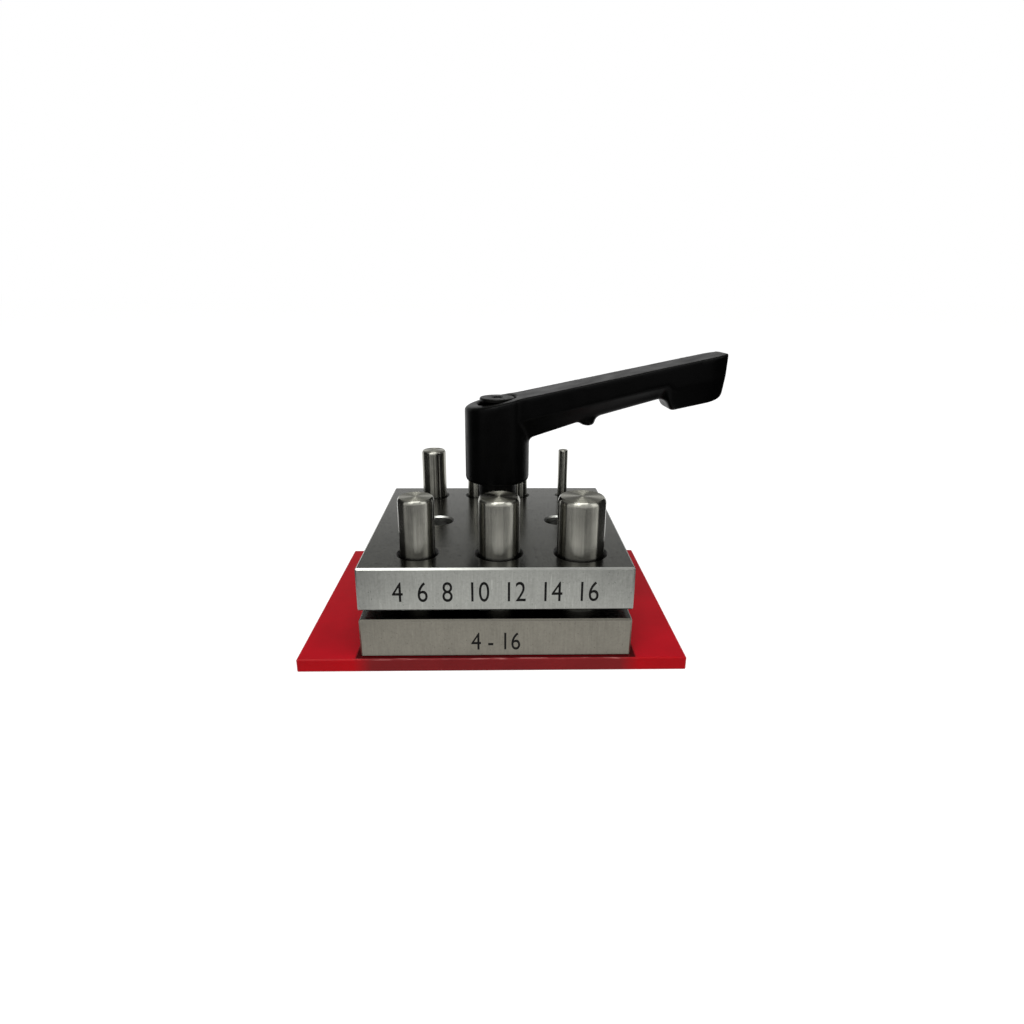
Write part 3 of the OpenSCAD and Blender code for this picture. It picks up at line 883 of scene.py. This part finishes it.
@dataclass
class Punches:
    """The seven punches, turned with a rounded rim round a slightly crowned striking end."""

    sizes_mm: Sequence[int] = (4, 6, 8, 10, 12, 14, 16)
    # Share of the diameter by which the rim is rounded in, and its height against that
    round_share: float = 0.085
    round_rise: float = 1.5
    # The rounding stops at this angle, in a crisp edge round the end
    round_deg: float = 68.0
    round_steps: int = 6
    crown_steps: int = 5
    sides: int = 96
    # Faces whose normals point up by more than this belong to the faced end
    end_facing: float = 0.95

    def profile(self, radius: float, length: float) -> list[tuple[float, float]]:
        """Outline of a punch, from its cutting end up to the middle of its striking end.

        Args:
            radius: The punch's radius in millimetres.
            length: Its length in millimetres.

        Returns:
            Radius and height of each point, in millimetres.
        """
        inset = 2 * radius * self.round_share
        drop = inset * self.round_rise
        outline = [(0.0, 0.0), (radius, 0.0)]
        for step in range(self.round_steps + 1):
            turn = math.radians(self.round_deg * step / self.round_steps)
            outline.append((radius - inset * (1 - math.cos(turn)), length - drop * (1 - math.sin(turn))))
        edge, height = outline[-1]
        for step in range(1, self.crown_steps + 1):
            share = 1 - step / self.crown_steps
            outline.append((edge * share, length - (length - height) * share * share))
        return outline

    def turned(self, size_mm: int) -> Thing:
        """Turns one punch and puts it in place of the frame's plainer one.

        Args:
            size_mm: The size of the disc that it cuts.

        Returns:
            The punch.
        """
        node = f"punch_{size_mm}mm"
        low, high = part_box(node)
        middle, size = (low + high) / (2 * MM), (high - low) / MM
        foot = (middle.x, middle.y, low.z / MM)
        punch = lathe("turned_" + node, self.profile(size.x / 2, size.z), foot, self.sides)
        shade(punch, crease_deg=20.0)
        for finish in (PUNCH_STEEL, PUNCH_END):
            punch.data.materials.append(finish.material())
        for face in punch.data.polygons:
            face.material_index = int(face.normal.z > self.end_facing)
        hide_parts(node)
        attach(punch, f"punch_{size_mm}")
        return punch

    def build(self) -> None:
        """Turns every punch of the set."""
        for size_mm in self.sizes_mm:
            log.info("punch: %s", self.turned(size_mm).name)


# ---- Clamping lever ----


@dataclass
class ClampLever:
    """The cast lever: round hub, slanted tapering arm with drafted flanks, deep grip and stop nub.

    The form is built along +X in millimetres, as one casting with filleted corners, and then turned
    to the angle that the lever rests at.
    """

    hub_d: float = 23.6
    hub_bevel_h: float = 0.8
    hub_bevel_w: float = 0.6
    rise_deg: float = 11.4
    rest_deg: float = 3.5
    reach: float = 83.0
    width_hub: float = 18.9
    width_tip: float = 15.5
    # Distance from the axis, depth of the arm and depth of its crease: hub, above the nub and grip
    depths: Sequence[Point] = ((2.0, 16.7, 8.2), (33.0, 13.2, 7.3), (61.5, 11.4, 6.4))
    draft: float = 2.4
    corner: float = 3.0
    # The rounding of the lower corners starts below level and goes on in steps
    corner_start_deg: int = 12
    corner_step_deg: int = 13
    # The arm's outline stands this much above the slanted cut that trims it
    over_top: float = 2.0
    # The grip's heel at distances from the axis, which slopes down to its full depth
    heel: Sequence[tuple[float, float]] = ((60.6, 11.6), (61.4, 13.4), (62.4, 15.6), (63.4, 16.4))
    grip_depth: float = 16.4
    grip_draft: float = 1.2
    grip_corner: float = 2.2
    # The tip's rounded plan: how far it runs along the arm, and how far its corners pull in
    tip_length: float = 6.5
    tip_inset: float = 3.6
    tip_lean: float = 0.8
    # Its underside rises by the inset divided by this
    tip_rise: float = 3.0
    tip_steps: int = 6
    tip_step_deg: int = 17
    nub_at: float = 33.0
    nub_d: float = 6.0
    nub_round: float = 1.5
    # The nub is an oval across the arm: its width against its length
    nub_stretch: float = 2.0
    nub_len: float = 2.6
    # How far it runs up into the arm
    nub_root: float = 3.0
    nub_steps: int = 6
    recess_d: float = 14.0
    web_low: float = 16.3
    web_t: float = 2.0
    drum_d: float = 11.1
    screw_hole_d: float = 6.6
    tooth_count: int = 24
    tooth_root_d: float = 11.7
    tooth_tip_d: float = 13.3
    tooth_h: float = 3.8
    # How far a cutter runs past the face it opens
    cut: float = 1.0
    # Size of the remeshing grid, the fillet in its inner corners and the softening of its edges
    grid: float = 0.42
    fillet: float = 1.9
    soften: int = 5
    # The hub's upper edge is rounder: more softening above this depth, outside this radius
    rim_soften: int = 22
    rim_depth: float = 5.0
    rim_inside: float = 8.8

    def __post_init__(self) -> None:
        """Takes the hub's foot and the height of its slanted top on the axis from the frame."""
        low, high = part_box("lever_handle")
        self.foot = low.z / MM
        self.top = high.z / MM - self.reach * self.slope
        self.web_top = self.web_low + self.web_t
        self.tall = self.top - self.foot + self.hub_d

    @property
    def slope(self) -> float:
        """Climb of the arm's top for each millimetre outwards."""
        return math.tan(math.radians(self.rise_deg))

    def ring(
        self, at: float, depth: float, crease: float, side: Range, inset: float = 0.0, lean: float = 0.0
    ) -> list[Point]:
        """One ring of the arm: upright flanks, then drafted ones, then a rounded underside.

        Args:
            at: Distance from the axis.
            depth: Height of the ring below the arm's top line.
            crease: Depth at which the draft begins.
            side: How far the flanks pull in below the crease, and the radius of the lower corners.
            inset: How far both flanks are moved in.
            lean: How far the ring's underside is shifted along the arm.

        Returns:
            The ring's points in millimetres.
        """
        draft, corner = side
        top = self.top + at * self.slope
        half = (self.width_hub + (self.width_tip - self.width_hub) * at / self.reach) / 2 - inset
        flank = [(half, self.over_top), (half, -crease)]
        for turn_deg in range(-self.corner_start_deg, -91, -self.corner_step_deg):
            turn = math.radians(turn_deg)
            inner = half - draft - corner
            flank.append((inner + corner * math.cos(turn), -depth + corner + corner * math.sin(turn)))
        outline = flank + [(-y, z) for y, z in reversed(flank)]
        return [(at + lean * min(0.0, z) / -depth, y, top + z) for y, z in outline]

    def arm(self) -> Thing:
        """Returns the arm, from inside the hub to inside the grip."""
        side = (self.draft, self.corner)
        return loft("arm", [self.ring(at, depth, crease, side) for at, depth, crease in self.depths])

    def grip(self) -> Thing:
        """Returns the grip, with its sloping heel and its rounded, leaning tip."""
        side = (self.grip_draft, self.grip_corner)
        rings = [self.ring(at, depth, depth / 2, side) for at, depth in self.heel]
        for step in range(self.tip_steps):
            turn = math.radians(self.tip_step_deg * step)
            inset = self.tip_inset * (1 - math.cos(turn))
            at = self.reach - self.tip_length * (1 - math.sin(turn))
            depth = self.grip_depth - inset / self.tip_rise
            rings.append(self.ring(at, depth, depth / 2, side, inset, -self.tip_lean * math.sin(turn)))
        return loft("grip", rings)

    def nub(self) -> Thing:
        """Returns the stop nub, whose round end hangs below the arm."""
        depth = self.depths[1][1]
        radius, flat = self.nub_d / 2, self.nub_d / 2 - self.nub_round
        profile = [(0.0, -self.nub_len)]
        for step in range(self.nub_steps + 1):
            turn = math.radians(90 * step / self.nub_steps)
            low = self.nub_round * (1 - math.cos(turn)) - self.nub_len
            profile.append((flat + self.nub_round * math.sin(turn), low))
        profile += [(radius, self.nub_root), (0.0, self.nub_root)]
        foot = (self.nub_at, 0.0, self.top + self.nub_at * self.slope - depth)
        nub = lathe("nub", profile, foot, sides=32)
        nub.data.transform(Matrix.Diagonal((1.0, self.nub_stretch, 1.0, 1.0)))
        return nub

    def bore(self, name: str, diameter: float, low: float, high: float) -> Thing:
        """A round cutter on the hub's axis.

        Args:
            name: Its name.
            diameter: Its diameter.
            low: Its lower end above the hub's foot.
            high: Its upper end above the hub's foot.

        Returns:
            The cutter.
        """
        outline = [(0.0, low), (diameter / 2, low), (diameter / 2, high), (0.0, high)]
        return lathe(name, outline, (0.0, 0.0, self.foot), sides=72)

    def casting(self) -> Thing:
        """Returns the raw casting in one solid, cut along its slanted top."""
        edge_r, radius = self.hub_d / 2 - self.hub_bevel_w, self.hub_d / 2
        foot = [(0.0, 0.0), (edge_r, 0.0), (radius, self.hub_bevel_h)]
        outline = foot + [(radius, self.tall), (0.0, self.tall)]
        body = lathe("lever", outline, (0.0, 0.0, self.foot), sides=96)
        combine(body, [self.arm(), self.grip(), self.nub()], Join.ADD)
        # The slab that is cut away above the slanted top reaches well past the casting
        far = 3 * self.hub_d
        corners = [
            (x, y, self.top + x * self.slope) for x in (-far, self.reach + far) for y in (-far, far)
        ]
        corners += [(x, y, z + far) for x, y, z in corners]
        sides = [[0, 1, 3, 2], [4, 5, 7, 6], [0, 1, 5, 4], [2, 3, 7, 6], [0, 2, 6, 4], [1, 3, 7, 5]]
        slab = mesh_object("slab", corners, sides)
        combine(body, [slab, self.bore("rough_recess", self.recess_d, self.web_top, self.tall)], Join.CUT)
        return body

    def fillet_corners(self, body: Thing) -> None:
        """Grows the solid and shrinks it again, which fills its inner corners as a casting's are.

        Args:
            body: The raw casting.
        """
        cell = self.grid * MM
        apply_modifier(body, "REMESH", mode="VOXEL", voxel_size=cell)
        for way in (1, -1):
            apply_modifier(body, "DISPLACE", strength=way * self.fillet * MM, mid_level=0.0)
            apply_modifier(body, "REMESH", mode="VOXEL", voxel_size=cell)
        apply_modifier(body, "SMOOTH", factor=SMOOTHING, iterations=self.soften)
        group = body.vertex_groups.new(name="rim")
        for vertex in body.data.vertices:
            x, y, z = (c / MM for c in vertex.co)
            deep = self.top + x * self.slope - z
            # The rim ends where the arm leaves the hub
            if x < self.rim_inside / 2 and deep < self.rim_depth and math.hypot(x, y) > self.rim_inside:
                group.add([vertex.index], 1.0, "REPLACE")
        rim = {"iterations": self.rim_soften, "vertex_group": "rim"}
        apply_modifier(body, "SMOOTH", factor=SMOOTHING, **rim)

    def teeth(self) -> Thing:
        """Returns the toothed cutter that fits over the insert's serrations."""
        rings = []
        for height in (-self.cut, self.tooth_h):
            ring = []
            for step in range(2 * self.tooth_count):
                radius = (self.tooth_tip_d if step % 2 == 0 else self.tooth_root_d) / 2
                turn = math.pi * step / self.tooth_count
                ring.append((radius * math.cos(turn), radius * math.sin(turn), self.foot + height))
            rings.append(ring)
        return loft("teeth", rings)

    def build(self) -> Thing:
        """Makes the lever, coats it and puts it in place of the frame's plain lever."""
        body = self.casting()
        self.fillet_corners(body)
        bores = [
            self.bore("recess", self.recess_d, self.web_top, self.tall),
            self.bore("screw_hole", self.screw_hole_d, self.web_low - self.cut, self.web_top + self.cut),
            self.bore("drum", self.drum_d, -self.cut, self.web_low),
            self.teeth(),
        ]
        combine(body, bores, Join.CUT)
        body.data.transform(Matrix.Rotation(math.radians(self.rest_deg), 4, "Z"))
        body.name = "cast_lever"
        shade(body, crease_deg=40.0)
        COAT.dress(body)
        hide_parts("lever_handle")
        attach(body, "lever")
        log.info("lever: cast lever with %d faces", len(body.data.polygons))
        return body


# ---- Springs ----


@dataclass
class CoilSpring:
    """A round-wire coil between two seats, of the same size as the frame's coarse one."""

    node: str
    body: str
    joint: str
    wire: float
    turns: float
    travel: float
    fixed: FixedEnd
    steps: int = 28
    sides: int = 12

    def rings(self, low: Vector, high: Vector) -> list[list[Point]]:
        """Rings of the wire along the helix.

        Args:
            low: Lowest corner of the frame's spring, in millimetres.
            high: Highest corner of it.

        Returns:
            The rings' points in millimetres.
        """
        centre = (low + high) / 2
        radius = (high.x - low.x - self.wire) / 2
        bottom, top = low.z + self.wire / 2, high.z - self.wire / 2
        count = round(self.turns * self.steps)
        climb = (top - bottom) / (2 * math.pi * radius * self.turns)
        rings = []
        for step in range(count + 1):
            turn = 2 * math.pi * step / self.steps
            out = Vector((math.cos(turn), math.sin(turn), 0.0))
            along = Vector((-math.sin(turn), math.cos(turn), climb)).normalized()
            up = out.cross(along)
            middle = Vector((centre.x, centre.y, bottom + (top - bottom) * step / count)) + out * radius
            angles = [2 * math.pi * side / self.sides for side in range(self.sides)]
            half = self.wire / 2
            rings.append([tuple(middle + (out * math.cos(a) + up * math.sin(a)) * half) for a in angles])
        return rings

    def build(self) -> Thing:
        """Winds the spring, dresses it and hangs it on its body."""
        low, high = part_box(self.node)
        spring = loft("wound_" + self.node, self.rings(low / MM, high / MM))
        shade(spring, crease_deg=50.0)
        SPRING_STEEL.dress(spring)
        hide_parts(self.node)
        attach(spring, self.body)
        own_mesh(spring)
        log.info("spring: %s", spring.name)
        return spring


# ---- Numerals ----


@dataclass
class Numerals:
    """Plain size numerals in black paint on a plate's front face."""

    name: str
    words: str
    body: str
    node: str
    height: float
    middle: float
    narrow: float = 0.76
    thick: float = 0.02

    def build(self) -> Thing:
        """Sets the numerals, makes a mesh of them and lays it on the plate."""
        low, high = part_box(self.node)
        curve = bpy.data.curves.new(self.name, "FONT")
        curve.body = self.words
        curve.align_x = "CENTER"
        words = link_object(self.name + "_curve", curve)
        bpy.context.view_layer.update()
        bottom = min(corner[1] for corner in words.bound_box)
        top = max(corner[1] for corner in words.bound_box)
        scale = self.height * MM / (top - bottom)
        curve.extrude = self.thick * MM / scale
        bpy.context.view_layer.update()
        graph = bpy.context.evaluated_depsgraph_get()
        mesh = bpy.data.meshes.new_from_object(words.evaluated_get(graph))
        bpy.data.objects.remove(words)
        place = Vector(((low.x + high.x) / 2, low.y, low.z + (high.z - low.z) * self.middle))
        upright = Matrix.Rotation(math.radians(90), 4, "X")
        fit = Matrix.Diagonal((scale * self.narrow, scale, scale, 1.0))
        centre = Matrix.Translation((0, -(bottom + top) / 2, 0))
        mesh.transform(Matrix.Translation(place) @ upright @ fit @ centre)
        piece = link_object(self.name, mesh)
        PAINT.dress(piece)
        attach(piece, self.body)
        log.info("numerals: %s on %s", self.name, self.node)
        return piece


# ---- Studio ----


@dataclass(frozen=True)
class Softbox:
    """A rectangular lamp that looks at the object."""

    name: str
    place: Point
    size: tuple[float, float]
    watts: float

    def build(self, target: Vector) -> None:
        """Hangs the lamp and turns it to the target.

        Args:
            target: The point that it looks at.
        """
        data = bpy.data.lights.new(self.name, "AREA")
        data.shape = "RECTANGLE"
        data.size, data.size_y = self.size
        data.energy = self.watts
        lamp = link_object(self.name, data)
        lamp.location = self.place
        lamp.rotation_euler = (target - Vector(self.place)).to_track_quat("-Z", "Y").to_euler()


@dataclass(frozen=True)
class Card:
    """A grey or black card near the object that only its shiny surfaces see, for their darker bands."""

    name: str
    corner: Point
    along: Point
    up: Point
    light: float

    def build(self) -> None:
        """Puts the card up, out of sight of the camera and of the lamps."""
        start, along, up = Vector(self.corner), Vector(self.along), Vector(self.up)
        corners = [tuple(point) for point in (start, start + along, start + along + up, start + up)]
        card = mesh_object(self.name, corners, [[0, 1, 2, 3]])
        paper = bpy.data.materials.new(self.name + "_paper")
        tree = empty_tree(paper)
        shine = add_node(tree, "Emission", {"Color": WHITE, "Strength": self.light})
        add_node(tree, "OutputMaterial", links={"Surface": shine})
        card.data.materials.append(paper)
        for ray in ("camera", "diffuse", "shadow", "transmission"):
            setattr(card, "visible_" + ray, False)
        card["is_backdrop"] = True


@dataclass
class Studio:
    """White floor and surround, soft lamps, and the camera at the photograph's place."""

    # A white floor reaches past the view on every side
    floor_half_mm: float = 6000.0
    lens_mm: float = 23.2107
    sensor_mm: float = 36.0
    camera_place_mm: Point = (0.188, -239.762, 121.272)
    pitch_deg: float = 18.6893
    yaw_deg: float = 1.2976
    roll_deg: float = 0.2918
    room: str = "#8c8c8a"
    floor_paint: str = "#e4e4e4"
    floor_glow: float = 0.92
    # Grey that keeps the object's shadow on the white that is seen
    shadow_grey: tuple[float, float, float, float] = (0.3, 0.3, 0.3, 1.0)
    # Heights of direction between which the white sweep behind the object gives way to the room
    sweep: Range = (0.17, 0.36)
    # A white sheet hangs before the object, for the rims of shiny parts: how bright they see it
    sheet: float = 1.0
    # Parts of the direction towards the camera between which the sheet begins
    sheet_ends: Range = (-0.1, -0.4)
    softboxes: Sequence[Softbox] = field(
        default_factory=lambda: (
            Softbox("overhead_softbox", (0.0, -0.25, 0.95), (0.6, 0.6), 4.0),
            Softbox("key_softbox", (-0.45, -0.75, 0.9), (0.6, 0.6), 3.5),
            Softbox("fill_softbox", (0.8, -0.5, 0.6), (0.5, 0.9), 2.0),
        )
    )
    cards: Sequence[Card] = field(
        default_factory=lambda: (
            Card("left_card", (-105, -60, 1), (0, 120, 0), (0, 0, 110), 0.04),
            Card("right_card", (105, -57, 1), (0, 120, 0), (0, 0, 110), 0.04),
            Card("front_card", (-400, -168, 3), (800, 0, 0), (0, -800, 0), 0.05),
            Card("left_floor_card", (-400, -205, 2), (345, 0, 0), (0, 145, 0), 0.38),
            Card("right_floor_card", (45, -205, 2), (355, 0, 0), (0, 105, 0), 0.45),
        )
    )

    def build(self) -> None:
        """Makes the surround, the floor, the lamps, the cards and the camera."""
        self.surround()
        self.floor()
        low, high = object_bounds()
        for softbox in self.softboxes:
            softbox.build((low + high) / 2)
        for card in self.cards:
            card.build()
        self.camera()
        log.info("studio: floor, %d softboxes, %d cards and camera", len(self.softboxes), len(self.cards))

    def surround(self) -> None:
        """White sweep up to its upper edge, and the dimmer room above it."""
        world = bpy.data.worlds.new("studio_room")
        bpy.context.scene.world = world
        tree = empty_tree(world)
        path = add_node(tree, "LightPath").outputs
        view = add_node(tree, "TexCoord").outputs["Generated"]
        way = add_node(tree, "SeparateXYZ", links={"Vector": view}).outputs
        low = add_node(tree, "MapRange", span(self.sweep, (1.0, 0.0)), {"Value": way["Z"]})
        before = add_node(tree, "MapRange", span(self.sheet_ends, (0.0, self.sheet)), {"Value": way["Y"]})
        white = add_node(tree, "Math", {"operation": "MAXIMUM"}, {0: low, 1: before})
        mirrored = add_node(tree, "Math", {"operation": "MULTIPLY"}, {0: path["Is Glossy Ray"], 1: white})
        seen = add_node(tree, "Math", {"operation": "MAXIMUM"}, {0: path["Is Camera Ray"], 1: mirrored})
        seen = add_node(tree, "Math", {"operation": "MAXIMUM"}, {0: path["Is Transmission Ray"], 1: seen})
        room = add_node(tree, "Background", {"Color": linear(self.room)})
        sheet = add_node(tree, "Background", {"Color": WHITE})
        mix = add_node(tree, "MixShader", links={0: seen, 1: room, 2: sheet})
        add_node(tree, "OutputWorld", links={"Surface": mix})

    def floor(self) -> None:
        """White floor under the pad that keeps the object's shadow."""
        half = self.floor_half_mm
        corners = [(-half, -half, 0.0), (half, -half, 0.0), (half, half, 0.0), (-half, half, 0.0)]
        floor = mesh_object("studio_floor", corners, [[0, 1, 2, 3]])
        material = bpy.data.materials.new("white_studio_floor")
        tree = empty_tree(material)
        path = add_node(tree, "LightPath").outputs
        seen = path["Is Camera Ray"]
        for ray in ("Is Glossy Ray", "Is Transmission Ray"):
            seen = add_node(tree, "Math", {"operation": "MAXIMUM"}, {0: seen, 1: path[ray]}).outputs[0]
        paint = add_node(tree, "BsdfDiffuse", {"Color": linear(self.floor_paint)})
        glow = add_node(tree, "Emission", {"Color": WHITE, "Strength": self.floor_glow})
        matt = add_node(tree, "BsdfDiffuse", {"Color": self.shadow_grey})
        lit = add_node(tree, "AddShader", links={0: glow, 1: matt})
        mix = add_node(tree, "MixShader", links={0: seen, 1: paint, 2: lit})
        add_node(tree, "OutputMaterial", links={"Surface": mix})
        floor.data.materials.append(material)
        floor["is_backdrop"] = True

    def camera(self) -> None:
        """Camera at the place and angle of the photograph."""
        pitch, yaw, roll = (math.radians(a) for a in (self.pitch_deg, self.yaw_deg, self.roll_deg))
        ahead = math.cos(pitch)
        forward = Vector((math.sin(yaw) * ahead, math.cos(yaw) * ahead, -math.sin(pitch)))
        right = Vector((math.cos(yaw), -math.sin(yaw), 0.0))
        up = right.cross(forward)
        rolled_right = right * math.cos(roll) + up * math.sin(roll)
        rolled_up = up * math.cos(roll) - right * math.sin(roll)
        data = bpy.data.cameras.new("camera")
        data.lens = self.lens_mm
        data.sensor_width = self.sensor_mm
        data.clip_start = 0.01
        camera = link_object("camera", data)
        axes = Matrix((rolled_right, rolled_up, -forward)).transposed().to_4x4()
        camera.matrix_world = Matrix.Translation(Vector(self.camera_place_mm) * MM) @ axes
        bpy.context.scene.camera = camera


def main() -> None:
    """Builds every sub-assembly in order and sets the view."""
    logging.basicConfig(level=logging.INFO, format="%(name)s: %(message)s")
    DieBlock().build()
    Punches().build()
    ClampLever().build()
    lift = {"wire": 1.2, "turns": 4.5, "travel": 3.0, "fixed": FixedEnd.BOTTOM}
    for node in ("lift_spring_left", "lift_spring_right"):
        CoilSpring(node, "block_base", "plate_travel", **lift).build()
    lever = {"wire": 0.8, "turns": 4.5, "travel": 4.0, "fixed": FixedEnd.TOP}
    CoilSpring("lever_spring", "clamp", "lever_lift", **lever).build()
    sizes = {"height": 7.0, "middle": 0.45}
    Numerals("size_numerals", "4  6  8  10  12  14  16", "upper_plate", "top_plate", **sizes).build()
    Numerals("range_numerals", "4 - 16", "block_base", "base_plate", height=6.4, middle=0.42).build()
    Studio().build()
    bpy.context.scene.view_settings.view_transform = "Standard"


if __name__ == "__main__":
    main()
